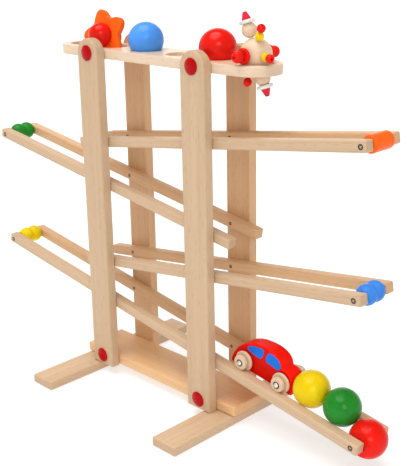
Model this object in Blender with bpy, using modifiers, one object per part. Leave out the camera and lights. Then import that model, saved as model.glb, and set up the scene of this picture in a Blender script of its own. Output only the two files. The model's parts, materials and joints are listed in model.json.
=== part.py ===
"""A wooden marble run: four posts, two boards and two feet carry four sloping tracks, each a pair of rails.

Balls, a flower, a tumbling figure and a car are its loose play pieces.
Metres, +Z up, +X along the tracks. The origin is on the floor, under the middle of the whole.
"""

import math

import bpy
import bmesh
from mathutils import Matrix, Vector

MM = 0.001
GAP = 0.3 * MM                     # between two pieces that touch

# Everything is placed from the tower's middle, and the tracks reach further to its right
TOWER_X = -10 * MM

# Tower
POST_X = 109 * MM                  # a post's centre, left and right of the tower's middle
POST_WIDTH = 45 * MM
POST_THICKNESS = 16 * MM
POST_TOP = 535 * MM
BAY = 72 * MM                      # from the front posts' inner faces to the rear posts'
EDGE = 2.5 * MM                    # rounding of the long edges
BOARD_WIDTH = BAY - 2 * GAP
BASE_LENGTH = 331 * MM
BASE_THICKNESS = 15.5 * MM
FOOT_HEIGHT = 14 * MM
FOOT_WIDTH = 46 * MM
FOOT_LENGTH = 302 * MM
FOOT_X = 140 * MM
TOP_BOARD_BOTTOM = 505 * MM
TOP_BOARD_THICKNESS = 14 * MM
TOP_BOARD_TOP = TOP_BOARD_BOTTOM + TOP_BOARD_THICKNESS
TOP_BOARD_LENGTH = 423.4 * MM
BOARD_EDGE = 1.2 * MM              # of the top board and its holes, cut with one small cutter
CAP_RADIUS = 11.5 * MM
CAP_HEIGHT = 4.2 * MM
CAP_LEVELS = {"bottom": 30 * MM, "top": 514 * MM}

# Holes in the top board, evenly spaced
HOLE_RADIUS = 21.2 * MM
HOLE_PITCH = 72 * MM
HOLE_COUNT = 6
SLOT_HOLES = (0, 1)                # counted from the left, from 0; these two are joined into the flower's slot
BALL_HOLES = {"ball_blue": 2, "ball_red": 4}
FIGURE_HOLE = 5

# Tracks: height of the rails' middle line under the tower's middle, slope, and the two ends' x
RAIL_HEIGHT = 15 * MM
RAIL_WIDTH = 16 * MM
RAIL_Y = BAY / 2 - GAP - RAIL_WIDTH / 2
RAIL_GAP = 2 * RAIL_Y - RAIL_WIDTH     # between a track's two rails
TRACKS = {
    "upper": {"height": 392.6 * MM, "slope": math.radians(7.75), "ends": (-159 * MM, 377 * MM)},
    "second": {"height": 298.2 * MM, "slope": math.radians(-8.59), "ends": (-377 * MM, 158 * MM)},
    "third": {"height": 201.4 * MM, "slope": math.radians(7.7), "ends": (-159 * MM, 377 * MM)},
    "lowest": {"height": 106.9 * MM, "slope": math.radians(-8.98), "ends": (-376 * MM, 379 * MM)},
}
SPACER_X = 366.5 * MM
SPACER_HALF = RAIL_GAP / 2 - GAP
BEAD_RADIUS = 14 * MM              # of each of a double bead's two balls
BEAD_OFFSET = 8 * MM
ROLLER_RADIUS = 11.5 * MM
ROLLER_X = 369.5 * MM
STOP_X = 371.5 * MM

# Balls
BALL_RADIUS = 26 * MM
LIFT = RAIL_HEIGHT / 2 + GAP       # from a rail's middle line to just above its top

# Flower
PETALS = 5
PETAL_MEAN = 34.8 * MM             # the outline's radius swings by PETAL_SWING about this
PETAL_SWING = 6.2 * MM
PETAL_TURN = math.radians(-33.7)   # the first petal, counted from the flower's own right
FLOWER_THICKNESS = 9 * MM
FLOWER_YAW = math.radians(6)
FLOWER_LEAN = math.radians(13.6)   # its top leans to the rear
FLOWER_OFFSET = Vector((-17.6 * MM, -2.3 * MM, 13.8 * MM))   # from the slot's right centre, at the board's top
DOME_RADIUS = 18.4 * MM
DOME_OFFSET = 9.4 * MM              # of the dome's ball, from the flower's middle plane

# Tumbling figure
BODY_RADIUS = 21.5 * MM
HEAD_RADIUS = 10.2 * MM
HEAD_FLAT = 8.2 * MM               # the flat that the hat sits on, above the head's centre
HAT_HEIGHT = 16 * MM
BRIM_RADIUS = 10.9 * MM
ARM_BEAD = 5.9 * MM
ARM_STEM = 2.2 * MM
SIDE_DISC_RADIUS = 10.7 * MM
SIDE_DISC_THICKNESS = 5 * MM
SIDE_BEAD = 8 * MM
FIGURE_OFFSET = Vector((-2.6 * MM, -1 * MM, 0))
HEADS_AXIS = Vector((-0.283, -0.085, 0.955))
ARM_UP = Vector((0.43, -0.235, 0.873))
ARM_RIGHT = Vector((0.924, -0.381, -0.027))
ARM_LEFT = Vector((-0.85, 0.5, 0.12))
ARM_DOWN = Vector((-9.9, -5.7, -36.5)) * MM   # to its one bead's centre

# Car, along the lowest track from the middle of its axles
CAR_X = 199.8 * MM
CAR_HALF_WIDTH = 13 * MM
AXLE_SPACING = 69 * MM
AXLE_RADIUS = 3 * MM
AXLE_CAP = 3.8 * MM                # radius of an axle's domed ends
HUB_RADIUS = 10.5 * MM             # the hubs ride on the rails
FLANGE_RADIUS = 14.6 * MM          # the flanges run between them
FLANGE_Y = (15.4 * MM, 19.2 * MM)
HUB_END = 27 * MM
CAR_PROFILE = [                    # mm; from the tail over the roof to the nose
    (-61, -15.5), (-62.5, -10), (-57.5, 5), (-48, 17.5), (-35.5, 26.5), (-21, 32), (-3, 34.5), (10, 34),
    (21, 30.5), (28, 24.5), (31, 18), (37, 17), (44, 13.5), (47.8, 8), (48.4, 1), (49.5, -7), (49, -15.5),
]

COLOURS = {
    "beech": (0.73, 0.50, 0.30),
    "red": (0.75, 0.02, 0.02),
    "blue": (0.09, 0.32, 0.82),
    "yellow": (0.85, 0.62, 0.01),
    "green": (0.02, 0.26, 0.03),
    "orange": (0.90, 0.15, 0.01),
    "steel": (0.62, 0.62, 0.60),
}


def clear_scene():
    for obj in list(bpy.data.objects):
        bpy.data.objects.remove(obj)


def make_collection(name):
    collection = bpy.data.collections.new(name)
    bpy.context.scene.collection.children.link(collection)
    return collection


def make_material(obj_name, colour):
    """Each piece's own gloss paint, bare beech or steel."""
    material = bpy.data.materials.new(obj_name)
    material.use_nodes = True
    shader = material.node_tree.nodes["Principled BSDF"]
    shader.inputs["Base Color"].default_value = (*COLOURS[colour], 1)
    shader.inputs["Roughness"].default_value = {"beech": 0.5, "steel": 0.3}.get(colour, 0.2)
    shader.inputs["Metallic"].default_value = 1.0 if colour == "steel" else 0.0
    return material


def add(name, mesh, colour, matrix=None):
    obj = bpy.data.objects.new(name, mesh)
    obj.matrix_world = matrix or Matrix.Identity(4)
    mesh.materials.append(make_material(name, colour))
    mesh.shade_smooth()
    mesh.set_sharp_from_angle(angle=math.radians(35))
    PARTS.objects.link(obj)
    return obj


def add_box(name, size, matrix, colour="beech"):
    mesh = bpy.data.meshes.new(name)
    shape = bmesh.new()
    bmesh.ops.create_cube(shape, size=1, matrix=Matrix.Diagonal((*size, 1)))
    shape.to_mesh(mesh)
    shape.free()
    obj = add(name, mesh, colour, matrix)
    bevel = obj.modifiers.new("rounded edges", "BEVEL")
    bevel.width = EDGE
    bevel.segments = 2
    return obj


def add_plate(name, loops, thickness, edge, matrix, colour="beech", edge_steps=0):
    """A flat piece in the local XY plane: the first loop is its outline and the others are holes."""
    curve = bpy.data.curves.new(name, "CURVE")
    curve.dimensions = "2D"
    curve.fill_mode = "BOTH"
    curve.extrude = thickness / 2 - edge
    curve.bevel_depth = edge
    curve.bevel_resolution = edge_steps
    curve.offset = -edge
    for loop in loops:
        spline = curve.splines.new("POLY")
        spline.points.add(len(loop) - 1)
        for point, (x, y) in zip(spline.points, loop):
            point.co = (x, y, 0, 1)
        spline.use_cyclic_u = True
    flat = bpy.data.objects.new(name + " outline", curve)
    PARTS.objects.link(flat)
    bpy.context.view_layer.update()
    mesh = bpy.data.meshes.new_from_object(flat.evaluated_get(bpy.context.evaluated_depsgraph_get()))
    bpy.data.objects.remove(flat)
    shape = bmesh.new()
    shape.from_mesh(mesh)
    bmesh.ops.remove_doubles(shape, verts=shape.verts, dist=1e-6)
    bmesh.ops.recalc_face_normals(shape, faces=shape.faces)
    shape.to_mesh(mesh)
    shape.free()
    return add(name, mesh, colour, matrix)


def add_turned(name, profile, steps, matrix, colour, closed=False):
    """A turned piece: its profile runs down the outer side, top to bottom, and turns about local Z."""
    mesh = bpy.data.meshes.new(name)
    shape = bmesh.new()
    points = [shape.verts.new((radius, 0, height)) for radius, height in profile]
    for first, second in zip(points, points[1:] + points[:1] if closed else points[1:]):
        shape.edges.new((first, second))
    shape.to_mesh(mesh)
    shape.free()
    obj = add(name, mesh, colour, matrix)
    screw = obj.modifiers.new("turn", "SCREW")
    screw.steps = steps
    screw.render_steps = steps
    screw.use_merge_vertices = True
    screw.merge_threshold = 1e-6
    return obj


def add_ball(name, radius, centre, colour, segments=12, rings=8):
    mesh = bpy.data.meshes.new(name)
    shape = bmesh.new()
    bmesh.ops.create_uvsphere(shape, u_segments=segments, v_segments=rings, radius=radius)
    shape.to_mesh(mesh)
    shape.free()
    return add(name, mesh, colour, Matrix.Translation(centre))


def arc(centre, radius, start, end, steps):
    """Points from angle start to angle end, in radians, both ends included."""
    angles = [start + (end - start) * i / steps for i in range(steps + 1)]
    return [(centre[0] + radius * math.cos(a), centre[1] + radius * math.sin(a)) for a in angles]


def circle(centre, radius, steps):
    return arc(centre, radius, 0, 2 * math.pi, steps)[:-1]


def pointing(direction, at):
    """The matrix that takes local +Z to a direction and the local origin to a point."""
    turn = Vector((0, 0, 1)).rotation_difference(Vector(direction)).to_matrix().to_4x4()
    return Matrix.Translation(at) @ turn


def hole_x(index):
    return TOWER_X + (index - (HOLE_COUNT - 1) / 2) * HOLE_PITCH


def along_track(track, x):
    """The point of a track's middle line at a distance x right of the tower's middle."""
    return Vector((TOWER_X + x, 0, track["height"] + math.tan(track["slope"]) * x))


def track_frame(track):
    """Unit vectors along a track, towards +X, and square to it, upwards."""
    forward = Vector((math.cos(track["slope"]), 0, math.sin(track["slope"])))
    return forward, Vector((-forward.z, 0, forward.x))


def make_posts():
    bottom = FOOT_HEIGHT + GAP
    half = POST_WIDTH / 2
    spring = POST_TOP - half - bottom
    outline = [(-half, 0), (half, 0)] + arc((0, spring), half, 0, math.pi, 14)
    for side, sign in (("left", -1), ("right", 1)):
        for end, depth in (("front", -1), ("rear", 1)):
            at = Vector((TOWER_X + sign * POST_X, depth * (BAY + POST_THICKNESS) / 2, bottom))
            matrix = Matrix.Translation(at) @ Matrix.Rotation(math.pi / 2, 4, "X")
            add_plate(f"post_{end}_{side}", [outline], POST_THICKNESS, EDGE, matrix, edge_steps=1)


def make_boards_and_feet():
    half = BOARD_WIDTH / 2
    reach = TOP_BOARD_LENGTH / 2 - half
    outline = arc((reach, 0), half, -math.pi / 2, math.pi / 2, 14)
    outline += arc((-reach, 0), half, math.pi / 2, 3 * math.pi / 2, 14)
    slot = [hole_x(index) - TOWER_X for index in SLOT_HOLES]
    holes = [arc((slot[1], 0), HOLE_RADIUS, -math.pi / 2, math.pi / 2, 14)
             + arc((slot[0], 0), HOLE_RADIUS, math.pi / 2, 3 * math.pi / 2, 14)]
    for index in range(SLOT_HOLES[1] + 1, HOLE_COUNT):
        holes.append(circle((hole_x(index) - TOWER_X, 0), HOLE_RADIUS, 28))
    at = Vector((TOWER_X, 0, TOP_BOARD_BOTTOM + TOP_BOARD_THICKNESS / 2))
    add_plate("top_board", [outline] + holes, TOP_BOARD_THICKNESS, BOARD_EDGE, Matrix.Translation(at))
    at = Vector((TOWER_X, 0, FOOT_HEIGHT + GAP + BASE_THICKNESS / 2))
    add_box("base_board", (BASE_LENGTH, BOARD_WIDTH, BASE_THICKNESS), Matrix.Translation(at))
    for side, sign in (("left", -1), ("right", 1)):
        at = Vector((TOWER_X + sign * FOOT_X, 0, FOOT_HEIGHT / 2))
        add_box(f"foot_{side}", (FOOT_WIDTH, FOOT_LENGTH, FOOT_HEIGHT), Matrix.Translation(at))


def make_caps():
    """Domed plugs over the screws that hold the boards between the posts."""
    ball = (CAP_RADIUS ** 2 + CAP_HEIGHT ** 2) / (2 * CAP_HEIGHT)
    half_angle = math.asin(CAP_RADIUS / ball)
    profile = arc((0, CAP_HEIGHT - ball), ball, math.pi / 2, math.pi / 2 - half_angle, 4)
    profile[0] = (0, CAP_HEIGHT)
    profile.append((0, 0))
    for level, height in CAP_LEVELS.items():
        for side, sign in (("left", -1), ("right", 1)):
            for end, depth in (("front", -1), ("rear", 1)):
                at = (TOWER_X + sign * POST_X, depth * (BAY / 2 + POST_THICKNESS + GAP), height)
                add_turned(f"cap_{level}_{end}_{side}", profile, 16, pointing((0, depth, 0), at), "red")


def make_rails():
    for name, track in TRACKS.items():
        low, high = track["ends"]
        size = ((high - low) / math.cos(track["slope"]), RAIL_WIDTH, RAIL_HEIGHT)
        turn = Matrix.Rotation(-track["slope"], 4, "Y")
        for end, depth in (("front", -1), ("rear", 1)):
            at = along_track(track, (low + high) / 2) + Vector((0, depth * RAIL_Y, 0))
            add_box(f"rail_{name}_{end}", size, Matrix.Translation(at) @ turn)


def mirrored(upper):
    """A profile from the axis down to the middle, then the same on to the axis again."""
    start = 1 if upper[-1][1] == 0 else 0
    return upper + [(radius, -height) for radius, height in list(reversed(upper))[start:]]


def double_bead():
    """Two balls that run into each other, with flat ends."""
    end = math.asin((SPACER_HALF - BEAD_OFFSET) / BEAD_RADIUS)
    waist = math.sqrt(BEAD_RADIUS ** 2 - BEAD_OFFSET ** 2)
    upper = [(0, SPACER_HALF)]
    upper += arc((0, BEAD_OFFSET), BEAD_RADIUS, end, -math.asin(BEAD_OFFSET / BEAD_RADIUS), 7)[:-1]
    return mirrored(upper + [(waist, 0)])


def cut_ball():
    """A ball with a flat at each end, as long as the rails are apart."""
    upper = arc((0, 0), BALL_RADIUS, math.asin(SPACER_HALF / BALL_RADIUS), 0, 5)[:-1]
    return mirrored([(0, SPACER_HALF)] + upper + [(BALL_RADIUS, 0)])


def roller():
    """A plain roller with rounded ends."""
    corner = 3.5 * MM
    upper = arc((ROLLER_RADIUS - corner, SPACER_HALF - corner), corner, math.pi / 2, 0, 3)
    return mirrored([(0, SPACER_HALF)] + upper)


def make_spacers():
    """The coloured turnings that a screw through each rail holds at the tracks' open ends."""
    for name, track, x, profile, steps, colour in (
        ("spacer_upper", "upper", ROLLER_X, roller(), 16, "orange"),
        ("spacer_second", "second", -SPACER_X, double_bead(), 16, "green"),
        ("spacer_third", "third", SPACER_X, double_bead(), 16, "blue"),
        ("spacer_lowest", "lowest", -SPACER_X, double_bead(), 16, "yellow"),
        ("stop_ball", "lowest", STOP_X, cut_ball(), 20, "red"),
    ):
        add_turned(name, profile, steps, pointing((0, 1, 0), along_track(TRACKS[track], x)), colour)


def ball_on_rails():
    """How far the middle of a ball is above the middle line of the two rails that it rests on."""
    reach = math.sqrt((BALL_RADIUS + EDGE) ** 2 - (RAIL_GAP / 2 + EDGE) ** 2)
    return LIFT + reach - EDGE


def make_balls():
    height = TOP_BOARD_TOP - BOARD_EDGE + math.sqrt(BALL_RADIUS ** 2 - HOLE_RADIUS ** 2) + GAP
    for name, colour in (("ball_blue", "blue"), ("ball_red", "red")):
        add_ball(name, BALL_RADIUS, (hole_x(BALL_HOLES[name]), 0, height), colour, 20, 12)
    forward, up = track_frame(TRACKS["lowest"])
    stop = along_track(TRACKS["lowest"], STOP_X)
    spacing = 2 * BALL_RADIUS + GAP
    back = math.sqrt(spacing ** 2 - ball_on_rails() ** 2)
    for name, distance, colour in (("ball_green", back, "green"), ("ball_yellow", back + spacing, "yellow")):
        add_ball(name, BALL_RADIUS, stop - forward * distance + up * ball_on_rails(), colour, 20, 12)


def make_flower():
    """A petal disc between two domes, which rest on the slot's long edges; the disc hangs into the slot."""
    outline = []
    for step in range(12 * PETALS):
        turn = 2 * math.pi * step / (12 * PETALS)
        radius = PETAL_MEAN + PETAL_SWING * math.cos(PETALS * turn)
        angle = PETAL_TURN + turn
        outline.append((radius * math.cos(angle), radius * math.sin(angle)))
    at = Vector((hole_x(SLOT_HOLES[1]), 0, TOP_BOARD_TOP)) + FLOWER_OFFSET
    upright = Matrix.Rotation(math.pi / 2 - FLOWER_LEAN, 4, "X")
    place = Matrix.Translation(at) @ Matrix.Rotation(FLOWER_YAW, 4, "Z") @ upright
    add_plate("flower_petals", [outline], FLOWER_THICKNESS, 1.2 * MM, place, "orange")
    face = FLOWER_THICKNESS / 2 + GAP
    rim = math.asin((face - DOME_OFFSET) / DOME_RADIUS)
    dome = arc((0, DOME_OFFSET), DOME_RADIUS, math.pi / 2, rim, 8)
    dome[0] = (0, DOME_OFFSET + DOME_RADIUS)
    for end, turn in (("front", 0), ("rear", math.pi)):
        matrix = place @ Matrix.Rotation(turn, 4, "X")
        add_turned(f"flower_dome_{end}", dome + [(0, face)], 16, matrix, "red")


def head():
    profile = arc((0, 0), HEAD_RADIUS, math.asin(HEAD_FLAT / HEAD_RADIUS), -math.pi / 2, 7)
    profile[-1] = (0, -HEAD_RADIUS)
    return [(0, HEAD_FLAT)] + profile


def hat():
    """A brim with a cone on it."""
    brim = 5 * MM
    edge = 1.6 * MM
    return [(0, HAT_HEIGHT), (1.8 * MM, HAT_HEIGHT - 0.5 * MM), (2.8 * MM, HAT_HEIGHT - 2 * MM),
            (6.4 * MM, brim), (BRIM_RADIUS - edge, brim), (BRIM_RADIUS, brim - edge),
            (BRIM_RADIUS, edge), (BRIM_RADIUS - edge, 0), (0, 0)]


def bead_on_stem(stem):
    """A bead, with the stem that its arm is fixed by running down from it."""
    neck = -math.acos(ARM_STEM / ARM_BEAD)
    profile = arc((0, 0), ARM_BEAD, math.pi / 2, neck, 8)
    profile[0] = (0, ARM_BEAD)
    return profile + [(ARM_STEM, -stem), (0, -stem)]


def make_figure():
    """A body ball with a hatted head at each end, arms of beads, and a disc and a bead at each side."""
    at = Vector((hole_x(FIGURE_HOLE), 0, TOP_BOARD_TOP + SIDE_DISC_RADIUS + GAP)) + FIGURE_OFFSET
    add_ball("figure_body", BODY_RADIUS, at, "beech", 18, 12)
    to_head = BODY_RADIUS + GAP + HEAD_RADIUS
    for end, sign in (("upper", 1), ("lower", -1)):
        axis = sign * HEADS_AXIS.normalized()
        add_turned(f"figure_head_{end}", head(), 14, pointing(axis, at + axis * to_head), "beech")
        to_hat = to_head + HEAD_FLAT + GAP
        add_turned(f"figure_hat_{end}", hat(), 14, pointing(axis, at + axis * to_hat), "red")
    to_bead = BODY_RADIUS + GAP + ARM_BEAD
    for end, direction in (("upper", ARM_UP), ("right", ARM_RIGHT), ("left", ARM_LEFT)):
        axis = direction.normalized()
        add_ball(f"figure_bead_{end}", ARM_BEAD, at + axis * to_bead, "yellow", 10, 7)
        to_hand = to_bead + 2 * ARM_BEAD + GAP
        add_ball(f"figure_hand_{end}", ARM_BEAD, at + axis * to_hand, "red", 10, 7)
    stem = ARM_DOWN.length - BODY_RADIUS - GAP
    matrix = pointing(ARM_DOWN, at + ARM_DOWN)
    add_turned("figure_hand_lower", bead_on_stem(stem), 12, matrix, "red")
    half = SIDE_DISC_THICKNESS / 2
    edge = 1.5 * MM
    disc = mirrored([(0, half), (SIDE_DISC_RADIUS - edge, half), (SIDE_DISC_RADIUS, half - edge)])
    to_disc = BODY_RADIUS + GAP + half
    to_bead = to_disc + half + GAP + SIDE_BEAD
    for end, depth in (("front", -1), ("rear", 1)):
        out = Vector((0, depth, 0))
        add_turned(f"figure_disc_{end}", disc, 16, pointing(out, at + out * to_disc), "red")
        add_ball(f"figure_side_bead_{end}", SIDE_BEAD, at + out * to_bead, "red", 12, 8)


def wheel():
    """A flange and the smaller hub beside it, round a bore, from the outer end inwards."""
    bore = AXLE_RADIUS + GAP
    edge = 1 * MM
    inner, outer = FLANGE_Y
    return [(bore, HUB_END), (HUB_RADIUS - edge, HUB_END), (HUB_RADIUS, HUB_END - edge), (HUB_RADIUS, outer),
            (FLANGE_RADIUS - edge, outer), (FLANGE_RADIUS, outer - edge), (FLANGE_RADIUS, inner + edge),
            (FLANGE_RADIUS - edge, inner), (bore, inner)]


def axle():
    """A rod with a domed head at each end."""
    start = HUB_END + GAP
    upper = [(0, start + 2.7 * MM), (0.6 * AXLE_CAP, start + 2.3 * MM), (AXLE_CAP, start + 0.8 * MM),
             (AXLE_CAP, start), (AXLE_RADIUS, start)]
    return mirrored(upper)


def make_car():
    """The car stands behind the last ball, with its hubs on the lowest track's rails."""
    forward, up = track_frame(TRACKS["lowest"])
    middle = along_track(TRACKS["lowest"], CAR_X) + up * (LIFT + HUB_RADIUS)
    place = Matrix.Translation(middle) @ Matrix.Rotation(-TRACKS["lowest"]["slope"], 4, "Y")
    side = place @ Matrix.Rotation(math.pi / 2, 4, "X")
    outline = [(x * MM, z * MM) for x, z in reversed(CAR_PROFILE)]
    body = add_plate("car_body", [outline], 2 * CAR_HALF_WIDTH, 2.5 * MM, side, "red", edge_steps=1)
    for end, sign in (("rear", -1), ("front", 1)):
        at = place @ Matrix.Translation((sign * AXLE_SPACING / 2, 0, 0))
        across = at @ Matrix.Rotation(-math.pi / 2, 4, "X")
        drill_bore(body, f"axle_bore_{end}", across)
        add_turned(f"car_axle_{end}", axle(), 12, across, "steel")
        for face, turn in (("rear", -math.pi / 2), ("front", math.pi / 2)):
            matrix = at @ Matrix.Rotation(turn, 4, "X")
            add_turned(f"car_wheel_{end}_{face}", wheel(), 20, matrix, "beech", closed=True)


def drill_bore(body, name, matrix):
    mesh = bpy.data.meshes.new(name)
    shape = bmesh.new()
    bmesh.ops.create_cone(shape, cap_ends=True, segments=16, radius1=AXLE_RADIUS + GAP,
                          radius2=AXLE_RADIUS + GAP, depth=3 * CAR_HALF_WIDTH)
    shape.to_mesh(mesh)
    shape.free()
    cutter = bpy.data.objects.new(name, mesh)
    cutter.matrix_world = matrix
    cutter.hide_render = True
    cutter.display_type = "WIRE"
    CUTTERS.objects.link(cutter)
    cut = body.modifiers.new(name, "BOOLEAN")
    cut.operation = "DIFFERENCE"
    cut.solver = "EXACT"
    cut.object = cutter


clear_scene()
PARTS = make_collection("marble run")
CUTTERS = make_collection("cutters")
make_posts()
make_boards_and_feet()
make_caps()
make_rails()
make_spacers()
make_balls()
make_flower()
make_figure()
make_car()
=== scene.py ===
"""Looks for the wooden marble run: fine surfaces, beech and gloss paint, screws, lights and the camera."""

import json
import math
import random

import bmesh
import bpy
from mathutils import Matrix, Vector


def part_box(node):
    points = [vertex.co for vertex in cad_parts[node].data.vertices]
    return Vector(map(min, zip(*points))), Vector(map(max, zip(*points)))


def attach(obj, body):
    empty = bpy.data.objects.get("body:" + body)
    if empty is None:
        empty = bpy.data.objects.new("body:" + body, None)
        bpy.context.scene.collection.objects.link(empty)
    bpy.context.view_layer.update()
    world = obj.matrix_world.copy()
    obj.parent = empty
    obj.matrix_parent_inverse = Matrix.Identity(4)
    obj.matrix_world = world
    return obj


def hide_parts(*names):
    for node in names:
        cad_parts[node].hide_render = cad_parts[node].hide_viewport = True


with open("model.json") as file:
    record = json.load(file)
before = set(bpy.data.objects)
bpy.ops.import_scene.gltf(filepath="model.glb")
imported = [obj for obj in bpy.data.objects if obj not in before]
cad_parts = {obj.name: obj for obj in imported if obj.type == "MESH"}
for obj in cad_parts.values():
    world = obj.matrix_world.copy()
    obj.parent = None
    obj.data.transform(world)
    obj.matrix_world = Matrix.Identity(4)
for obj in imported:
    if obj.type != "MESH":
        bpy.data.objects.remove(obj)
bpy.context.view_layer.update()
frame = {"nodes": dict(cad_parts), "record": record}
NODE_BODY = {node: body for body, nodes in frame["record"]["behaviour"]["bodies"].items() for node in nodes}
SCENE = bpy.context.scene
MM = 0.001

GAP = 0.3 * MM                      # between pieces that touch
ENDS = (("front", -1), ("rear", 1))

# The sizes below repeat the CAD model's, where a node's box doesn't give them.
# Tower: slopes in degrees, rising from a track's left end to its right
SLOPES = {"upper": 7.75, "second": -8.59, "third": 7.7, "lowest": -8.98}
TRACK_UP = Matrix.Rotation(math.radians(-SLOPES["lowest"]), 4, "Y")     # turns level axes to the lowest track's
POST_X = (-119 * MM, 99 * MM)
PLANK_EDGE = 2.5 * MM
BOARD_EDGE = 1.2 * MM
HOLE_RADIUS = 21.2 * MM
HOLE_PITCH = 72 * MM
HOLE_COUNT = 6                      # the first two are joined into the flower's slot
CAP_RIM = 1.1 * MM
CAP_INSET = 0.3 * MM

# Spacers and stop
ROLLER_RADIUS = 11.5 * MM
ROLLER_CORNER = 3.5 * MM
BEAD_RADIUS = 14 * MM               # of each of a double bead's two balls
BEAD_OFFSET = 8 * MM
STOP_RADIUS = 26 * MM
STOP_SCREW = -3 * MM                # along X, from the stop's middle

# Flower
PETAL_MEAN = 34.8 * MM              # the outline's radius swings by PETAL_SWING about this
PETAL_SWING = 6.2 * MM
PETAL_TURN = math.radians(33.7)
PETAL_THICKNESS = 9 * MM
PETAL_EDGE = 1.8 * MM
PETAL_POINTS = 300
FLOWER_YAW = math.radians(6)
FLOWER_LEAN = math.radians(13.6)
DOME_RADIUS = 18.4 * MM
DOME_OFFSET = 9.4 * MM              # of the dome's ball, from the flower's middle plane
DOME_FACE = 4.8 * MM                # of the dome's flat, from the same plane

# Figure
BODY_RADIUS = 21.5 * MM
HEAD_RADIUS = 10.2 * MM
HEAD_FLAT = 8.2 * MM                # the flat that the hat sits on, above the head's centre
HEADS_AXIS = Vector((-0.283, -0.085, 0.955)).normalized()
BRIM_RADIUS = 10.9 * MM
BRIM_HEIGHT = 5 * MM
CONE_BASE, CONE_TIP = 6.5 * MM, 2.6 * MM
HAT_HEIGHT = 15.6 * MM
ARM_BEAD = 5.9 * MM
ARM_STEM = 2.2 * MM
ARM_BORE = 1.7 * MM
ARM_DOWN = Vector((-9.9, -5.7, -36.5)) * MM
SIDE_DISC_RADIUS = 10.7 * MM
SIDE_DISC_HALF = 2.5 * MM
SIDE_BORE = 1.9 * MM

# Car, in mm from the middle of its axles: the outline runs from the tail over the roof to the nose
CAR_PROFILE = [
    (-61, -15.5), (-62.5, -10), (-57.5, 5), (-48, 17.5), (-35.5, 26.5), (-21, 32), (-3, 34.5), (10, 34),
    (21, 30.5), (28, 24.5), (31, 18), (37, 17), (44, 13.5), (47.8, 8), (48.4, 1), (49.5, -7), (49, -15.5),
]
CAR_WINDOWS = {
    "rear": [(-35.5, 17.5), (-32, 24.5), (-21, 28.8), (-4.5, 31.5), (-5.8, 19), (-9, 14.4), (-18, 14.2)],
    "front": [(0, 22), (4.5, 31.2), (12, 31.2), (21.5, 28.4),
              (27.5, 21.5), (27, 14.5), (22, 12.2), (1.5, 14.5)],
}
CAR_HALF_WIDTH = 13 * MM
CAR_EDGE = 3 * MM
WINDOW_CORNER = 3.2 * MM
WINDOW_THICKNESS = 0.5 * MM
AXLE_RADIUS = 3 * MM
AXLE_CAP = 3.8 * MM
WHEEL_BORE = AXLE_RADIUS + GAP
WHEEL_EDGE = 1.2 * MM
WASHER_RADIUS = 5.2 * MM
HUB_RADIUS, GROOVE_RADIUS, FLANGE_RADIUS = 10.5 * MM, 7.6 * MM, 14.6 * MM
# From the car's middle plane outwards
FLANGE_INSIDE, FLANGE_OUTSIDE = 15.4 * MM, 19.2 * MM
GROOVE_END, HUB_START, HUB_END = 21 * MM, 21.6 * MM, 27 * MM


# ---------------------------------------------------------------- materials

class Nodes:
    """Short ways to add and join the nodes of one material."""

    def __init__(self, name):
        self.material = bpy.data.materials.new(name)
        self.material.use_nodes = True
        self.tree = self.material.node_tree
        self.tree.nodes.clear()
        self.shader = self.tree.nodes.new("ShaderNodeBsdfPrincipled")
        output = self.tree.nodes.new("ShaderNodeOutputMaterial")
        self.tree.links.new(self.shader.outputs[0], output.inputs[0])

    def put(self, socket, value):
        if isinstance(value, bpy.types.NodeSocket):
            self.tree.links.new(value, socket)
        elif value is not None:
            socket.default_value = value

    def node(self, kind, inputs=(), **settings):
        made = self.tree.nodes.new("ShaderNode" + kind)
        for key, value in settings.items():
            setattr(made, key, value)
        for key, value in dict(inputs).items():
            self.put(made.inputs[key], value)
        return made

    def math(self, operation, a, b=None, clamp=False):
        made = self.node("Math", operation=operation, use_clamp=clamp)
        for socket, value in zip(made.inputs, (a, b)):
            self.put(socket, value)
        return made.outputs[0]

    def times(self, a, b):
        return self.math("MULTIPLY", a, b)

    def vector(self, operation, a, b=None):
        made = self.node("VectorMath", operation=operation)
        for socket, value in zip(made.inputs, (a, b)):
            self.put(socket, value)
        return made.outputs[1 if operation == "LENGTH" else 0]

    def noise(self, vector, scale, detail=3.0, roughness=0.5, output=0):
        made = self.node("TexNoise", {"Vector": vector, "Scale": scale, "Detail": detail,
                                      "Roughness": roughness})
        return made.outputs[output]

    def span(self, value, low, high, to_low=0.0, to_high=1.0, smooth=False):
        made = self.node("MapRange", {"Value": value, "From Min": low, "From Max": high,
                                      "To Min": to_low, "To Max": to_high})
        made.interpolation_type = "SMOOTHSTEP" if smooth else "LINEAR"
        return made.outputs[0]

    def mix(self, factor, a, b):
        made = self.node("Mix", data_type="RGBA")
        self.put(made.inputs["Factor"], factor)
        self.put(made.inputs[6], (*a, 1) if isinstance(a, tuple) else a)
        self.put(made.inputs[7], (*b, 1) if isinstance(b, tuple) else b)
        return made.outputs[2]

    def wear(self):
        """How worn each point is, from 0 to 1, as mark_wear stored it."""
        return self.node("Attribute", attribute_name="edge", attribute_type="GEOMETRY").outputs["Fac"]

    def surface(self, name, value):
        self.put(self.shader.inputs[name], value)

    def bump(self, height, distance, strength):
        made = self.node("Bump", {"Height": height, "Distance": distance, "Strength": strength})
        self.surface("Normal", made.outputs[0])


GRAIN_TURN = {"X": (0, math.pi / 2, 0), "Y": (math.pi / 2, 0, 0), "Z": (0, 0, 0)}
BEECH_LIGHT = (0.75, 0.56, 0.385)
BEECH_MID = (0.61, 0.42, 0.26)
BEECH_DARK = (0.42, 0.25, 0.13)
BEECH_EDGE = (0.60, 0.39, 0.22)
RING_SPACING = 4.2 * MM
TURNING_MARKS = 0.35 * MM

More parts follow.
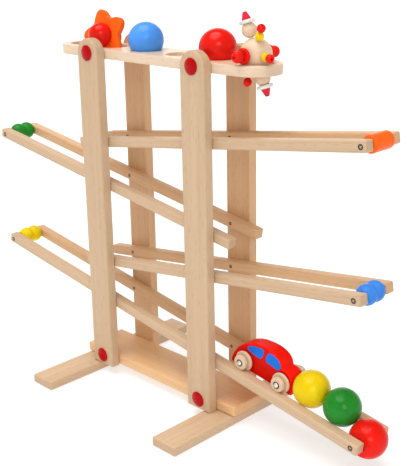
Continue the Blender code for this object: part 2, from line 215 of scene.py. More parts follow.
# Planks of different tone; the rear planks' warmer tint is painted shade, the base board's amber tint is
# painted warm bounce light, and the top board's paler, bluer tint is partly a painted sheen
PALE = (1.08, 1.12, 1.18)
PALE_AND_PAINTED_SHEEN = (1.07, 1.13, 1.24)
PLAIN = (0.84, 0.81, 0.775)
WARM_PAINTED_SHADE = (0.94, 0.80, 0.64)
AMBER_PAINTED_LIGHT = (1.12, 0.96, 0.75)

RED = (0.80, 0.011, 0.005)
CAP_RED = (0.44, 0.0015, 0.004)
CAR_RED = (0.97, 0.011, 0.003)
CONE_RED = (0.72, 0.025, 0.05)
BLUE = (0.075, 0.30, 0.84)
BEAD_BLUE = (0.050, 0.235, 0.74)
GLASS_BLUE = (0.008, 0.165, 0.72)
YELLOW = (0.86, 0.62, 0.004)
GREEN = (0.016, 0.235, 0.022)
ORANGE = (0.98, 0.125, 0.006)
WHITE = (0.80, 0.79, 0.76)


def tinted(colour, tint, scale=1.0):
    return tuple(value * share * scale for value, share in zip(colour, tint))


def scaled(colour, scale, more=0.0):
    return tuple(value * scale + more for value in colour)


def beech(name, grain, seed, tint, ring=1.0, gloss=0.08):
    """Lacquered beech, with a solid figure: rings round a distant pith, fibres and flecks along the grain."""
    rng = random.Random(seed)
    nodes = Nodes(name)
    coords = nodes.node("TexCoord")
    offset = [rng.uniform(-3, 3) for _ in range(3)]
    turn = nodes.node("Mapping", {"Vector": coords.outputs["Object"], "Location": offset,
                                  "Rotation": GRAIN_TURN[grain]}).outputs[0]
    slow = nodes.vector("MULTIPLY", turn, (1, 1, 0.06))
    fast = nodes.vector("MULTIPLY", turn, (1, 1, 0.022))
    fleck = nodes.vector("MULTIPLY", turn, (1, 1, 0.16))
    bend = nodes.noise(slow, 9.0, 2.0)
    drift = nodes.vector("MULTIPLY", nodes.noise(slow, 14.0, 2.0, output=1), (0.03, 0.03, 0))
    warped = nodes.vector("ADD", turn, drift)

    # Growth rings
    pith = (offset[0] - rng.uniform(0.03, 0.07) * rng.choice((-1, 1)), offset[1] - rng.uniform(0.05, 0.1), 0)
    from_pith = nodes.vector("MULTIPLY", nodes.vector("SUBTRACT", warped, pith), (1, 1, 0))
    radius = nodes.vector("LENGTH", from_pith)
    wave = nodes.math("SINE", nodes.times(radius, 2 * math.pi / (RING_SPACING * ring)))
    rings = nodes.span(wave, -0.6, 1.0, smooth=True)
    rings = nodes.times(rings, nodes.span(nodes.noise(slow, 22.0, 2.0), 0.3, 0.7, 0.15, 1.0))

    # Fibres, and the short dark rays that beech is known by
    fibres = nodes.noise(fast, 620.0, 4.0, 0.65)
    streaks = nodes.noise(fast, 95.0, 3.0, 0.55)
    rays = nodes.span(nodes.noise(fleck, 480.0, 1.5), 0.61, 0.70, smooth=True)
    tone = nodes.times(nodes.span(bend, 0.3, 0.7), 0.30)
    tone = nodes.math("ADD", tone, nodes.times(nodes.span(streaks, 0.3, 0.7), 0.34))
    tone = nodes.math("ADD", tone, nodes.times(rings, 0.26))
    tone = nodes.math("ADD", tone, nodes.times(nodes.span(fibres, 0.3, 0.7), 0.16), clamp=True)
    colour = nodes.mix(tone, tinted(BEECH_LIGHT, tint), tinted(BEECH_MID, tint))
    colour = nodes.mix(nodes.times(rays, 0.24), colour, tinted(BEECH_DARK, tint))

    # End grain drinks more lacquer and goes darker
    normal = nodes.node("SeparateXYZ", {"Vector": coords.outputs["Normal"]}).outputs["XYZ".index(grain)]
    ends = nodes.span(nodes.math("ABSOLUTE", normal), 0.72, 0.98, 0.0, 0.42, smooth=True)
    colour = nodes.mix(ends, colour, tinted(BEECH_MID, tint, 0.86))

    # Handling polishes and slightly darkens the rounded edges
    worn = nodes.times(nodes.wear(), nodes.span(nodes.noise(turn, 60.0), 0.35, 0.65, 0.3, 1.0))
    colour = nodes.mix(nodes.times(worn, 0.25), colour, tinted(BEECH_EDGE, tint))
    nodes.surface("Base Color", colour)
    rough = nodes.math("ADD", nodes.span(streaks, 0.25, 0.75, 0.40, 0.52), nodes.times(rays, 0.10))
    nodes.surface("Roughness", nodes.math("SUBTRACT", rough, nodes.times(worn, 0.10)))
    nodes.surface("Specular IOR Level", 0.32)
    nodes.surface("Coat Weight", gloss)
    nodes.surface("Coat Roughness", 0.30)
    height = nodes.math("ADD", nodes.times(fibres, 0.5), nodes.times(rays, -0.8))
    nodes.bump(height, 0.12 * MM, 0.55)
    return nodes.material


def paint(name, colour, seed, roughness=0.22, gloss=0.6, grain=0.2, sides=1.0):
    """Gloss paint on wood: a little uneven, thin and pale on the edges, with the grain showing faintly.

    On a sawn piece the two flat sides, which are square to local Z, are darkened by the factor sides: painted
    shade.
    """
    rng = random.Random(seed)
    nodes = Nodes(name)
    offset = [rng.uniform(-3, 3) for _ in range(3)]
    coords = nodes.node("TexCoord").outputs["Object"]
    place = nodes.node("Mapping", {"Vector": coords, "Location": offset}).outputs[0]
    along = nodes.vector("MULTIPLY", place, (0.08, 1, 1))
    cloud = nodes.noise(place, 38.0, 3.0, 0.55)
    fine = nodes.noise(along, 420.0, 3.0, 0.6)
    peel = nodes.noise(place, 260.0, 2.0, 0.4)
    light = tuple(min(1.0, value) for value in scaled(colour, 1.05, 0.001))
    shade = nodes.mix(nodes.span(cloud, 0.32, 0.68), scaled(colour, 0.86), light)
    shade = nodes.mix(nodes.span(fine, 0.42, 0.72, 0.0, grain * 0.6), shade, scaled(colour, 0.74))
    # darken the flat sides: painted shade
    if sides < 1:
        normal = nodes.node("SeparateXYZ", {"Vector": nodes.node("TexCoord").outputs["Normal"]}).outputs["Z"]
        flat = nodes.span(nodes.math("ABSOLUTE", normal), 0.80, 0.98, smooth=True)
        shade = nodes.mix(flat, shade, scaled(colour, sides))
    scuffs = nodes.times(nodes.wear(), nodes.span(nodes.noise(place, 330.0, 4.0, 0.7), 0.50, 0.66))
    shade = nodes.mix(nodes.times(scuffs, 0.30), shade, scaled(colour, 0.8, 0.07))
    nodes.surface("Base Color", shade)
    rough = nodes.span(cloud, 0.3, 0.7, roughness * 0.85, roughness * 1.25)
    specks = nodes.span(nodes.noise(place, 900.0, 2.0), 0.66, 0.74, 0.0, 0.12)
    nodes.surface("Roughness", nodes.math("ADD", rough, specks))
    nodes.surface("Specular IOR Level", 0.16 * gloss)
    nodes.surface("Coat Weight", 0.07 * gloss)
    nodes.surface("Coat Roughness", 0.10)
    height = nodes.math("ADD", nodes.times(peel, 0.7), nodes.times(fine, grain))
    nodes.bump(height, 0.10 * MM, 0.5)
    return nodes.material


def steel(name, seed, colour, roughness, turned=True):
    """Bright or darkened steel, with fine turning marks and a little tarnish."""
    nodes = Nodes(name)
    coords = nodes.node("TexCoord").outputs["Object"]
    place = nodes.node("Mapping", {"Vector": coords, "Location": (seed * 0.37, seed * 0.21, 0)}).outputs[0]
    cloud = nodes.noise(place, 240.0, 3.0, 0.6)
    radius = nodes.vector("LENGTH", nodes.vector("MULTIPLY", coords, (1, 1, 0)))
    marks = nodes.math("SINE", nodes.times(radius, 2 * math.pi / TURNING_MARKS))
    tarnish = nodes.span(cloud, 0.45, 0.75)
    nodes.surface("Base Color", nodes.mix(tarnish, colour, scaled(colour, 0.7)))
    nodes.surface("Metallic", 1.0)
    nodes.surface("Roughness", nodes.span(cloud, 0.3, 0.7, roughness * 0.8, roughness * 1.3))
    nodes.bump(nodes.times(marks, 1.0 if turned else 0.2), 0.02 * MM, 0.4)
    return nodes.material


# ---------------------------------------------------------------- shapes

NO_WEAR = ("turned", "dome", "shell")       # how the names of pieces without an edge that wears begin
MANY_FACES = 4000
SMOOTH_ANGLE = math.radians(40)


def mark_wear(mesh, shape, name):
    """Stores how worn each point is: the sharper the more, and not at all beside a large flat face."""
    large = max(face.calc_area() for face in shape.faces) * (0.2 if len(shape.faces) < MANY_FACES else 0.5)
    wear = mesh.attributes.new("edge", "FLOAT", "POINT")
    for vert in shape.verts:
        sharp = max((edge.calc_face_angle(0) for edge in vert.link_edges), default=0)
        flat = max((face.calc_area() for face in vert.link_faces), default=0) >= large
        wear.data[vert.index].value = 0.0 if flat or name.startswith(NO_WEAR) else min(1.0, sharp / 0.35)


def finish_piece(name, shape, place, body, material, node=None):
    """Makes the piece, shades it smooth and seats it on its body; with a node, it replaces that CAD node."""
    mesh = bpy.data.meshes.new(name)
    bmesh.ops.recalc_face_normals(shape, faces=shape.faces)
    shape.to_mesh(mesh)
    mark_wear(mesh, shape, name)
    shape.free()
    mesh.materials.append(material)
    mesh.shade_smooth()
    mesh.set_sharp_from_angle(angle=SMOOTH_ANGLE)
    made = bpy.data.objects.new(name, mesh)
    made.matrix_world = place
    SCENE.collection.objects.link(made)
    weight = made.modifiers.new("flat faces stay flat", "WEIGHTED_NORMAL")
    weight.keep_sharp = True
    weight.weight = 80
    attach(made, body)
    if node:
        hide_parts(node)
    return made


def plank_shape(size):
    """A plank with all its edges rounded."""
    shape = bmesh.new()
    bmesh.ops.create_cube(shape, size=1, matrix=Matrix.Diagonal((*size, 1)))
    bmesh.ops.bevel(shape, geom=list(shape.edges), offset=PLANK_EDGE, segments=4, profile=0.5, affect="EDGES")
    return shape


def outline_shape(loops, thickness, edge, steps=3):
    """A flat piece in local XY with rounded edges; the first loop is its outline, the others are holes."""
    curve = bpy.data.curves.new("outline", "CURVE")
    curve.dimensions = "2D"
    curve.fill_mode = "BOTH"
    curve.extrude = thickness / 2 - edge
    curve.bevel_depth = edge
    curve.bevel_resolution = steps
    curve.offset = -edge
    for loop in loops:
        spline = curve.splines.new("POLY")
        spline.points.add(len(loop) - 1)
        for point, (x, y) in zip(spline.points, loop):
            point.co = (x, y, 0, 1)
        spline.use_cyclic_u = True
    flat = bpy.data.objects.new("outline", curve)
    SCENE.collection.objects.link(flat)
    bpy.context.view_layer.update()
    mesh = bpy.data.meshes.new_from_object(flat.evaluated_get(bpy.context.evaluated_depsgraph_get()))
    bpy.data.objects.remove(flat)
    shape = bmesh.new()
    shape.from_mesh(mesh)
    bpy.data.meshes.remove(mesh)
    bmesh.ops.remove_doubles(shape, verts=shape.verts, dist=1e-6)
    bmesh.ops.dissolve_degenerate(shape, edges=shape.edges, dist=1e-7)
    return shape


def turned_shape(profile, steps=64):
    """A profile of (radius, height) turned about local Z."""
    shape = bmesh.new()
    points = [shape.verts.new((radius, 0, height)) for radius, height in profile]
    edges = [shape.edges.new(pair) for pair in zip(points, points[1:])]
    bmesh.ops.spin(shape, geom=points + edges, cent=(0, 0, 0), axis=(0, 0, 1), dvec=(0, 0, 0),
                   angle=2 * math.pi, steps=steps, use_merge=False)
    bmesh.ops.remove_doubles(shape, verts=shape.verts, dist=1e-6)
    return shape


def arc(centre, radius, start, end, steps):
    angles = [start + (end - start) * i / steps for i in range(steps + 1)]
    return [(centre[0] + radius * math.cos(a), centre[1] + radius * math.sin(a)) for a in angles]


def circle(centre, radius, steps):
    return arc(centre, radius, 0, 2 * math.pi, steps)[:-1]


def long_loop(left, right, radius, steps):
    """A loop with a half circle round each of two points on local X."""
    half = math.pi / 2
    return arc((right, 0), radius, -half, half, steps) + arc((left, 0), radius, half, 3 * half, steps)


def rounded(points, radii, steps):
    """A polyline whose inner corners are replaced with arcs."""
    made = [points[0]]
    for before, corner, after, radius in zip(points, points[1:], points[2:], radii):
        a, b, c = Vector(before), Vector(corner), Vector(after)
        u, v = (a - b).normalized(), (c - b).normalized()
        half = math.acos(max(-1, min(1, u.dot(v)))) / 2
        if half > math.pi / 2 - 0.01:           # all but straight
            made.append(corner)
            continue
        reach = min(radius / math.tan(half), 0.49 * (a - b).length, 0.49 * (c - b).length)
        start, end = b + u * reach, b + v * reach
        middle = b + (u + v).normalized() * (reach / math.cos(half))
        round_radius = reach * math.tan(half)
        first, last = start - middle, end - middle
        turn = first.angle_signed(last)
        for i in range(steps + 1):
            spun = first.copy()
            spun.rotate(Matrix.Rotation(-turn * i / steps, 2))
            made.append(tuple(middle + spun.normalized() * round_radius))
    made.append(points[-1])
    return made


def there_and_back(upper):
    """A profile from the axis to the middle height, then the same mirrored on to the axis again."""
    start = 1 if abs(upper[-1][1]) < 1e-9 else 0
    return upper + [(radius, -height) for radius, height in list(reversed(upper))[start:]]


def ball_shape(radius):
    shape = bmesh.new()
    bmesh.ops.create_uvsphere(shape, u_segments=64, v_segments=40, radius=radius)
    return shape


def centre_of(node):
    low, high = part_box(node)
    return (low + high) / 2


def size_of(node):
    low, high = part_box(node)
    return high - low


def pointing(direction, at):
    """The matrix that takes local +Z to a direction and the local origin to a point."""
    turn = Vector((0, 0, 1)).rotation_difference(Vector(direction)).to_matrix().to_4x4()
    return Matrix.Translation(at) @ turn


# ---------------------------------------------------------------- tower

def make_posts():
    for index, (end, side) in enumerate((e, s) for e in ("front", "rear") for s in ("left", "right")):
        node = f"post_{end}_{side}"
        size, at = size_of(node), centre_of(node)
        half = size.x / 2
        spring = size.z / 2 - half
        outline = [(-half, -size.z / 2), (half, -size.z / 2)] + arc((0, spring), half, 0, math.pi, 56)
        shape = outline_shape([outline], size.y, PLANK_EDGE)
        upright = Matrix.Rotation(math.pi / 2, 3, "X")
        bmesh.ops.rotate(shape, verts=shape.verts, cent=(0, 0, 0), matrix=upright)
        # the rear posts' warmer tint is painted shade
        wood = beech(f"beech_{node}", "Z", 11 + index, PLAIN if end == "front" else WARM_PAINTED_SHADE)
        finish_piece(f"plank_{node}", shape, Matrix.Translation(at), "frame", wood, node)


def hole_x(index):
    return (index - (HOLE_COUNT - 1) / 2) * HOLE_PITCH


def make_boards():
    size, at = size_of("top_board"), centre_of("top_board")
    half = size.y / 2
    reach = size.x / 2 - half
    loops = [long_loop(-reach, reach, half, 56), long_loop(hole_x(0), hole_x(1), HOLE_RADIUS, 48)]
    loops += [circle((hole_x(index), 0), HOLE_RADIUS, 96) for index in range(2, HOLE_COUNT)]
    # the top board's paler, bluer tint is a pale tone and partly a painted sheen on its top
    finish_piece("plank_top_board", outline_shape(loops, size.z, BOARD_EDGE), Matrix.Translation(at), "frame",
                 beech("beech_top_board", "X", 31, PALE_AND_PAINTED_SHEEN, gloss=0.6), "top_board")
    for node, grain, seed, tint in (
        # the base board's brighter amber tint is painted warm bounce light
        ("base_board", "X", 41, AMBER_PAINTED_LIGHT),
        ("foot_left", "Y", 42, PLAIN),
        ("foot_right", "Y", 43, PLAIN),
    ):
        finish_piece(f"plank_{node}", plank_shape(size_of(node)), Matrix.Translation(centre_of(node)), "frame",
                     beech(f"beech_{node}", grain, seed, tint), node)


def make_caps():
    """Domed plugs with a small rim."""
    for index, node in enumerate(sorted(n for n in frame["nodes"] if n.startswith("cap_"))):
        low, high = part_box(node)
        depth = -1 if "front" in node else 1
        radius, height = (high.x - low.x) / 2, high.y - low.y
        dome, rise = radius - CAP_INSET, height - CAP_RIM
        ball = (dome ** 2 + rise ** 2) / (2 * rise)
        half = math.asin(min(1, dome / ball))
        profile = arc((0, height - ball), ball, math.pi / 2, math.pi / 2 - half, 20)
        profile[0] = (0, height)
        profile += [(radius, CAP_RIM - 0.25 * MM), (radius, CAP_INSET), (dome, 0), (0, 0)]
        at = (centre_of(node).x, high.y if depth < 0 else low.y, centre_of(node).z)
        finish_piece(f"dome_{node}", turned_shape(profile, 72), pointing((0, depth, 0), at), "frame",
                     paint(f"paint_{node}", CAP_RED, 100 + index, 0.2, 0.5, 0.05), node)


# ---------------------------------------------------------------- tracks

def make_rails():
    """Each rail's length follows from its box and its slope."""
    for index, node in enumerate(sorted(n for n in frame["nodes"] if n.startswith("rail_"))):
        track = node.split("_")[1]
        place = Matrix.Translation(centre_of(node)) @ Matrix.Rotation(-math.radians(SLOPES[track]), 4, "Y")
        inverse = place.inverted()
        points = [inverse @ vert.co for vert in frame["nodes"][node].data.vertices]
        size = [2 * max(abs(point[axis]) for point in points) for axis in range(3)]
        # the rear rails' warmer tint is painted shade
        wood = beech(f"beech_{node}", "X", 61 + index, PLAIN if node.endswith("front") else WARM_PAINTED_SHADE)
        finish_piece(f"plank_{node}", plank_shape(size), place, "frame", wood, node)


def roller(half):
    """A plain roller with rounded ends."""
    centre = (ROLLER_RADIUS - ROLLER_CORNER, half - ROLLER_CORNER)
    return there_and_back([(0, half)] + arc(centre, ROLLER_CORNER, math.pi / 2, 0, 10))


def with_flat(side, half, rest=()):
    """A profile with a flat end, whose side starts a little outside the flat."""
    return there_and_back([(0, half), (side[0][0] - 0.4 * MM, half)] + side + list(rest))


def cut_ball(half):
    """A ball with a flat at each end."""
    return with_flat(arc((0, 0), STOP_RADIUS, math.asin(half / STOP_RADIUS) - 0.02, 0, 24), half)


def double_bead(half):
    """Two balls that run into each other, with flat ends and a small fillet at the waist."""
    start = math.asin((half - BEAD_OFFSET) / BEAD_RADIUS) - 0.03
    end = 0.32 - math.asin(BEAD_OFFSET / BEAD_RADIUS)
    waist = math.sqrt(BEAD_RADIUS ** 2 - BEAD_OFFSET ** 2)
    fillet = [(waist + 0.75 * MM, 1.5 * MM), (waist + 0.35 * MM, 0.6 * MM), (waist + 0.25 * MM, 0)]
    return with_flat(arc((0, BEAD_OFFSET), BEAD_RADIUS, start, end, 20), half, fillet)


def make_spacers():
    for index, (node, profile, colour) in enumerate((
        ("spacer_upper", roller, ORANGE),
        ("spacer_second", double_bead, GREEN),
        ("spacer_third", double_bead, BEAD_BLUE),
        ("spacer_lowest", double_bead, YELLOW),
        ("stop_ball", cut_ball, RED),
    )):
        low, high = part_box(node)
        shape = turned_shape(profile((high.y - low.y) / 2), 80)
        finish_piece(f"turned_{node}", shape, pointing((0, 1, 0), centre_of(node)), "frame",
                     paint(f"paint_{node}", colour, 130 + index, grain=0.3), node)


def cross_screw(radius, depth=1.1 * MM):
    """A countersunk head with a cross recess, its face at local z 0."""
    outline = circle((0, 0), radius, 40)
    arm, wide = radius * 0.62, radius * 0.15
    cross = [(wide, wide), (wide, arm), (-wide, arm), (-wide, wide), (-arm, wide), (-arm, -wide),
             (-wide, -wide), (-wide, -arm), (wide, -arm), (wide, -wide), (arm, -wide), (arm, wide)]
    shape = bmesh.new()
    rim = [shape.verts.new((x, y, 0)) for x, y in outline]
    lower = [shape.verts.new((x * 0.92, y * 0.92, -depth)) for x, y in outline]
    mouth = [shape.verts.new((x, y, 0)) for x, y in cross]
    floor = [shape.verts.new((x * 0.8, y * 0.8, -0.8 * depth)) for x, y in cross]
    for upper, under in ((rim, lower), (mouth, floor)):
        for i, j in zip(range(len(upper)), [*range(1, len(upper)), 0]):
            shape.faces.new((upper[i], under[i], under[j], upper[j]))
        shape.faces.new(under)
    edges = [shape.edges.get((ring[i], ring[(i + 1) % len(ring)])) for ring in (rim, mouth)
             for i in range(len(ring))]
    bmesh.ops.triangle_fill(shape, edges=edges, use_beauty=True)
    return shape


def make_screws():
    """Screws whose heads are in the open: through each rail into its posts, its spacer and the stop."""
    sunk = steel("sunk_screw_steel", 3, (0.016, 0.011, 0.007), 0.6, turned=False)
    plain = steel("screw_steel", 4, (0.070, 0.060, 0.050), 0.45, turned=False)
    made = 0
    rng = random.Random(7)
    for track in SLOPES:
        slope = math.tan(math.radians(SLOPES[track]))
        for end, depth in ENDS:
            low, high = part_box(f"rail_{track}_{end}")
            middle = (low + high) / 2
            inner, outer = (high.y, low.y) if depth < 0 else (low.y, high.y)
            spots = [(x, inner, -depth) for x in POST_X]
            spots.append((centre_of(f"spacer_{track}").x, outer, depth))
            if track == "lowest":
                spots.append((centre_of("stop_ball").x + STOP_SCREW, outer, depth))
            for x, y, face in spots:
                made += 1
                at = Vector((x, y + face * 0.12 * MM, middle.z + slope * (x - middle.x)))
                place = pointing((0, face, 0), at) @ Matrix.Rotation(rng.uniform(0, math.pi), 4, "Z")
                radius, metal = (2.4 * MM, sunk) if y == inner else (3.7 * MM, plain)
                finish_piece(f"screw_rail_{made}", cross_screw(radius), place, "frame", metal)


# ---------------------------------------------------------------- balls, flower, figure

def make_balls():
    for index, (node, colour) in enumerate((("ball_blue", BLUE), ("ball_red", RED),
                                            ("ball_yellow", YELLOW), ("ball_green", GREEN))):
        shape = ball_shape(size_of(node).z / 2)
        finish_piece(f"turned_{node}", shape, Matrix.Translation(centre_of(node)), NODE_BODY[node],
                     paint(f"paint_{node}", colour, 150 + index, 0.2, 0.75), node)


def make_flower():
    outline = []
    for step in range(PETAL_POINTS):
        turn = 2 * math.pi * step / PETAL_POINTS
        radius = PETAL_MEAN + PETAL_SWING * math.cos(5 * turn)
        outline.append((radius * math.cos(turn - PETAL_TURN), radius * math.sin(turn - PETAL_TURN)))
    at = (centre_of("flower_dome_front") + centre_of("flower_dome_rear")) / 2
    place = Matrix.Translation(at) @ Matrix.Rotation(FLOWER_YAW, 4, "Z")
    place = place @ Matrix.Rotation(math.pi / 2 - FLOWER_LEAN, 4, "X")
    finish_piece("disc_flower_petals", outline_shape([outline], PETAL_THICKNESS, PETAL_EDGE), place, "flower",
                 paint("paint_flower_petals", ORANGE, 170, 0.26, 0.5, 0.35), "flower_petals")
    rim = math.asin((DOME_FACE - DOME_OFFSET) / DOME_RADIUS)
    profile = arc((0, DOME_OFFSET), DOME_RADIUS, math.pi / 2, rim + 0.03, 40)
    profile[0] = (0, DOME_OFFSET + DOME_RADIUS)
    profile += [(profile[-1][0] - 0.4 * MM, DOME_FACE), (0, DOME_FACE)]
    for index, (end, turn) in enumerate((("front", 0), ("rear", math.pi))):
        node = f"flower_dome_{end}"
        finish_piece(f"turned_{node}", turned_shape(profile, 72), place @ Matrix.Rotation(turn, 4, "X"),
                     "flower",
                     paint(f"paint_{node}", RED, 172 + index, 0.2, 0.7, 0.25), node)


def bead_profile(radius, bore=0.0):
    """A turned bead; with a bore, its outer end shows the drilled hole."""
    if not bore:
        profile = arc((0, 0), radius, math.pi / 2, -math.pi / 2, 28)
        profile[0], profile[-1] = (0, radius), (0, -radius)
        return profile
    start = math.acos(bore / radius)
    floor, mouth = radius * 0.35, radius * math.sin(start) - 0.35 * MM
    profile = [(0, floor), (bore * 0.9, floor), (bore * 0.95, mouth)]
    profile += arc((0, 0), radius, start - 0.05, -math.pi / 2, 28)
    profile[-1] = (0, -radius)
    return profile


def make_heads(at):
    """The two heads, each under a hat with a white brim and a red cone."""
    profile = arc((0, 0), HEAD_RADIUS, math.asin(HEAD_FLAT / HEAD_RADIUS), -math.pi / 2, 32)
    profile[-1] = (0, -HEAD_RADIUS)
    profile.insert(0, (0, HEAD_FLAT))
    brim = [(0, 0), (BRIM_RADIUS, 0), (BRIM_RADIUS, BRIM_HEIGHT), (0, BRIM_HEIGHT)]
    brim = rounded(brim, (2.4 * MM, 2.4 * MM), 12)
    seam = BRIM_HEIGHT + 0.1 * MM
    cone = [(0, HAT_HEIGHT), (CONE_TIP, HAT_HEIGHT), (CONE_BASE, seam), (0, seam)]
    cone = rounded(cone, (1.8 * MM, 0.5 * MM), 8)
    for index, (end, sign) in enumerate((("upper", 1), ("lower", -1))):
        way = HEADS_AXIS * sign
        head = at + way * (BODY_RADIUS + GAP + HEAD_RADIUS)
        finish_piece(f"turned_figure_head_{end}", turned_shape(profile, 56), pointing(way, head), "figure",
                     beech(f"beech_figure_head_{end}", "Z", 203 + index, PALE, 1.3), f"figure_head_{end}")
        base = pointing(way, head + way * (HEAD_FLAT + GAP))
        finish_piece(f"turned_figure_brim_{end}", turned_shape(brim), base, "figure",
                     paint(f"paint_figure_brim_{end}", WHITE, 210 + index, 0.3, 0.4), f"figure_hat_{end}")
        shape = turned_shape(cone)
        bmesh.ops.transform(shape, matrix=base, verts=shape.verts)
        piece = finish_piece(f"turned_figure_cone_{end}", shape, Matrix.Identity(4), "figure",
                             paint(f"paint_figure_cone_{end}", CONE_RED, 212 + index, 0.24))


def make_arms(at):
    """Three arms of a yellow and a red bead, and the lower arm's bead on its stem."""
    seed = 220
    for name in ("upper", "right", "left"):
        for part, colour, bore in (("bead", YELLOW, 0.0), ("hand", RED, ARM_BORE)):
            node = f"figure_{part}_{name}"
            spot = centre_of(node)
            shape = turned_shape(bead_profile(size_of(node).z / 2, bore), 48)
            finish_piece(f"turned_{node}", shape, pointing(spot - at, spot), "figure",
                         paint(f"paint_{node}", colour, seed), node)
            seed += 1
    neck = ARM_BEAD * math.sin(-math.acos(ARM_STEM / ARM_BEAD))
    foot = BODY_RADIUS + GAP - ARM_DOWN.length
    profile = [point for point in bead_profile(ARM_BEAD, ARM_BORE) if point[1] > neck]
    profile += [(ARM_STEM, neck), (ARM_STEM, foot), (0, foot)]
    finish_piece("turned_figure_hand_lower", turned_shape(profile, 48), pointing(ARM_DOWN, at + ARM_DOWN),
                 "figure", paint("paint_figure_hand_lower", RED, 230), "figure_hand_lower")


def make_side_discs():
    """The discs and beads that the figure rolls on."""
    disc = [(0, SIDE_DISC_HALF), (SIDE_DISC_RADIUS, SIDE_DISC_HALF),
            (SIDE_DISC_RADIUS, -SIDE_DISC_HALF), (0, -SIDE_DISC_HALF)]
    disc = rounded(disc, (2 * MM, 2 * MM), 10)
    for index, (end, depth) in enumerate(ENDS):
        out = Vector((0, depth, 0))
        node = f"figure_disc_{end}"
        finish_piece(f"turned_{node}", turned_shape(disc), pointing(out, centre_of(node)), "figure",
                     paint(f"paint_{node}", RED, 240 + index), node)
        node = f"figure_side_bead_{end}"
        shape = turned_shape(bead_profile(size_of(node).z / 2, SIDE_BORE), 56)
        finish_piece(f"turned_{node}", shape, pointing(out, centre_of(node)), "figure",
                     paint(f"paint_{node}", RED, 244 + index), node)


def make_figure():
    at = centre_of("figure_body")
    shape = ball_shape(size_of("figure_body").z / 2)
    finish_piece("turned_figure_body", shape, Matrix.Translation(at), "figure",
                 beech("beech_figure_body", "Y", 201, PALE, 1.3), "figure_body")
    make_heads(at)
    make_arms(at)
    make_side_discs()


# ---------------------------------------------------------------- car

def in_metres(points):
    return [(x * MM, z * MM) for x, z in points]


def smooth_loop(points, sharp, steps=6):
    """A closed loop through the points with Catmull-Rom arcs, straight at the sharp ones."""
    made = []
    count = len(points)
    for i in range(count):
        p0, p1, p2, p3 = (Vector(points[(i + k) % count]) for k in (-1, 0, 1, 2))
        if i in sharp:
            p0 = p1
        if (i + 1) % count in sharp:
            p3 = p2
        if i in sharp and (i + 1) % count in sharp:
            made.append(tuple(p1))
            continue
        for k in range(steps):
            t = k / steps
            made.append(tuple(0.5 * ((2 * p1) + (p2 - p0) * t + (2 * p0 - 5 * p1 + 4 * p2 - p3) * t * t
                                     + (3 * p1 - p0 - 3 * p2 + p3) * t ** 3)))
    return made


def rounded_loop(points, radius, steps=6):
    count = len(points)
    made = []
    for i in range(count):
        arcs = rounded([points[i - 1], points[i], points[(i + 1) % count]], (radius,), steps)
        made += arcs[1:-1]
    return made


def make_car_body(side):
    """The sawn body, and the blue windows painted on both its sides."""
    outline = list(reversed(smooth_loop(in_metres(CAR_PROFILE), {0, len(CAR_PROFILE) - 1})))
    shape = outline_shape([outline], 2 * CAR_HALF_WIDTH, CAR_EDGE, 5)
    # the body's darker flat sides are painted shade, so that the roof looks the brighter
    finish_piece("shell_car_body", shape, side, "car",
                 paint("paint_car_body", CAR_RED, 260, 0.28, 0.25, 0.15, sides=0.66), "car_body")
    blue = paint("paint_car_window", GLASS_BLUE, 262, 0.25, 0.4, 0.1)
    for name, points in CAR_WINDOWS.items():
        loop = rounded_loop(in_metres(points), WINDOW_CORNER)
        for face, depth in (("front", 1), ("rear", -1)):
            shape = outline_shape([loop], WINDOW_THICKNESS, 0.12 * MM, 1)
            place = side @ Matrix.Translation((0, 0, depth * (CAR_HALF_WIDTH - 0.05 * MM)))
            piece = finish_piece(f"window_{name}_{face}", shape, place, "car", blue)


def axle_profile():
    """A rod with a domed steel cap on each end."""
    start = HUB_END + GAP
    dome = [(0, start + 2.7 * MM)] + arc((0, start - 1.8 * MM), 4.5 * MM, 1.35, 0.62, 14)
    dome = [point for point in dome if point[0] < AXLE_CAP]
    return there_and_back(dome + [(AXLE_CAP, start + 0.7 * MM), (AXLE_CAP, start), (AXLE_RADIUS, start)])


def wheel_profile():
    """A hub that rides on a rail, a groove, and a flange that runs inside the rail."""
    wheel = [(WHEEL_BORE, HUB_END), (HUB_RADIUS, HUB_END), (HUB_RADIUS, HUB_START), (GROOVE_RADIUS, GROOVE_END),
             (GROOVE_RADIUS, FLANGE_OUTSIDE), (FLANGE_RADIUS, FLANGE_OUTSIDE), (FLANGE_RADIUS, FLANGE_INSIDE),
             (WHEEL_BORE, FLANGE_INSIDE)]
    radii = (WHEEL_EDGE, 0.4 * MM, 0.2 * MM, 0.2 * MM, WHEEL_EDGE, WHEEL_EDGE)
    return rounded(wheel, radii, 8) + [(WHEEL_BORE, HUB_END)]


def washer_profile():
    low, high = HUB_END + 0.02 * MM, HUB_END + 0.22 * MM
    washer = [(WHEEL_BORE, high), (WASHER_RADIUS, high), (WASHER_RADIUS, low), (WHEEL_BORE, low)]
    return rounded(washer, (0.05 * MM, 0.05 * MM), 2) + [(WHEEL_BORE, high)]


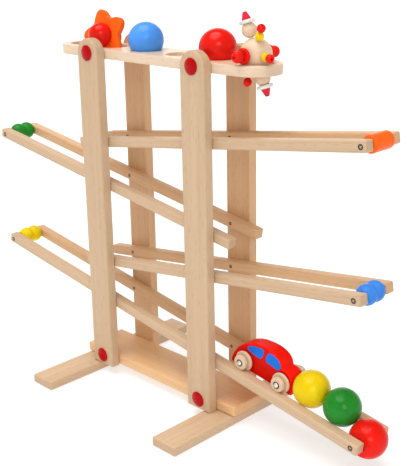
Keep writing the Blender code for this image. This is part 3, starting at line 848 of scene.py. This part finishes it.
def make_car():
    front, rear = centre_of("car_axle_front"), centre_of("car_axle_rear")
    middle = (front + rear) / 2
    make_car_body(Matrix.Translation(middle) @ TRACK_UP @ Matrix.Rotation(math.pi / 2, 4, "X"))
    bright = steel("axle_steel", 5, (0.90, 0.89, 0.87), 0.3)
    ring = steel("washer_steel", 6, (0.030, 0.026, 0.022), 0.5)
    for end, at, first_seed in (("front", front, 272), ("rear", rear, 270)):
        tilt = Matrix.Translation(at) @ TRACK_UP
        across = tilt @ Matrix.Rotation(-math.pi / 2, 4, "X")
        body = f"{end}_wheels"
        finish_piece(f"turned_car_axle_{end}", turned_shape(axle_profile(), 48), across, body, bright,
                     f"car_axle_{end}")
        for index, (face, turn) in enumerate((("rear", -1), ("front", 1))):
            place = tilt @ Matrix.Rotation(turn * math.pi / 2, 4, "X")
            node = f"car_wheel_{end}_{face}"
            finish_piece(f"turned_{node}", turned_shape(wheel_profile(), 72), place, body,
                         beech(f"beech_{node}", "Z", first_seed + index, PALE, 1.2), node)
            shape = turned_shape(washer_profile(), 48)
            piece = finish_piece(f"washer_{end}_{face}", shape, place, body, ring)


# ---------------------------------------------------------------- stage

LIGHTS = (                          # name, where it shines from, its width in degrees, its strength
    ("top", (-0.1, -0.2, 1.0), 50, 2.9),
    ("key", (0.72, -0.6, 0.5), 24, 0.75),
    ("sheen", (-0.68, 0.67, 0.35), 40, 0.22),
)
CAMERA_AT = (0.9821, -0.9113, 0.6930)
CAMERA_YAW, CAMERA_PITCH, CAMERA_ROLL = 0.7873, 0.3020, -0.0180     # radians


def make_floor():
    bpy.ops.mesh.primitive_plane_add(size=80, location=(0, 0, -0.4 * MM))
    floor = bpy.context.object
    floor.name = "floor"
    nodes = Nodes("pale_floor")
    nodes.surface("Base Color", (0.45, 0.45, 0.45, 1))
    nodes.surface("Roughness", 0.9)
    nodes.surface("Emission Color", (1, 1, 1, 1))
    nodes.surface("Emission Strength", 0.6)
    floor.data.materials.append(nodes.material)


def make_world():
    """A studio that is bright near the horizon and dim overhead."""
    world = bpy.data.worlds.new("studio")
    world.use_nodes = True
    tree = world.node_tree
    way = tree.nodes.new("ShaderNodeSeparateXYZ")
    tree.links.new(tree.nodes.new("ShaderNodeTexCoord").outputs["Generated"], way.inputs[0])
    ramp = tree.nodes.new("ShaderNodeValToRGB")
    ramp.color_ramp.elements[0].color = (0.85, 0.82, 0.78, 1)      # level with the horizon
    ramp.color_ramp.elements[1].color = (0.22, 0.21, 0.19, 1)
    ramp.color_ramp.elements[1].position = 0.7
    tree.links.new(way.outputs["Z"], ramp.inputs[0])
    tree.links.new(ramp.outputs[0], tree.nodes["Background"].inputs[0])
    SCENE.world = world


def make_lights():
    for name, toward, angle, strength in LIGHTS:
        light = bpy.data.lights.new(name, "SUN")
        light.angle = math.radians(angle)
        light.energy = strength
        lamp = bpy.data.objects.new(name, light)
        lamp.rotation_euler = Vector(toward).to_track_quat("Z", "Y").to_euler()
        SCENE.collection.objects.link(lamp)


def make_camera():
    camera = bpy.data.cameras.new("camera")
    camera.sensor_width = 36
    camera.lens = 72.77
    camera.shift_x = -0.0015
    camera.shift_y = -0.0363
    camera.clip_end = 50
    made = bpy.data.objects.new("camera", camera)
    yaw, pitch, roll = CAMERA_YAW, CAMERA_PITCH, CAMERA_ROLL
    ahead = Vector((-math.sin(yaw) * math.cos(pitch), math.cos(yaw) * math.cos(pitch), -math.sin(pitch)))
    right = Vector((math.cos(yaw), math.sin(yaw), 0))
    up = right.cross(ahead)
    turned = right * math.cos(roll) + up * math.sin(roll)
    top = up * math.cos(roll) - right * math.sin(roll)
    basis = Matrix((turned, top, -ahead)).transposed()
    made.matrix_world = Matrix.Translation(CAMERA_AT) @ basis.to_4x4()
    SCENE.collection.objects.link(made)
    SCENE.camera = made


make_posts()
make_boards()
make_caps()
make_rails()
make_spacers()
make_screws()
make_balls()
make_flower()
make_figure()
make_car()
make_floor()
make_world()
make_lights()
make_camera()
SCENE.view_settings.view_transform = "Standard"
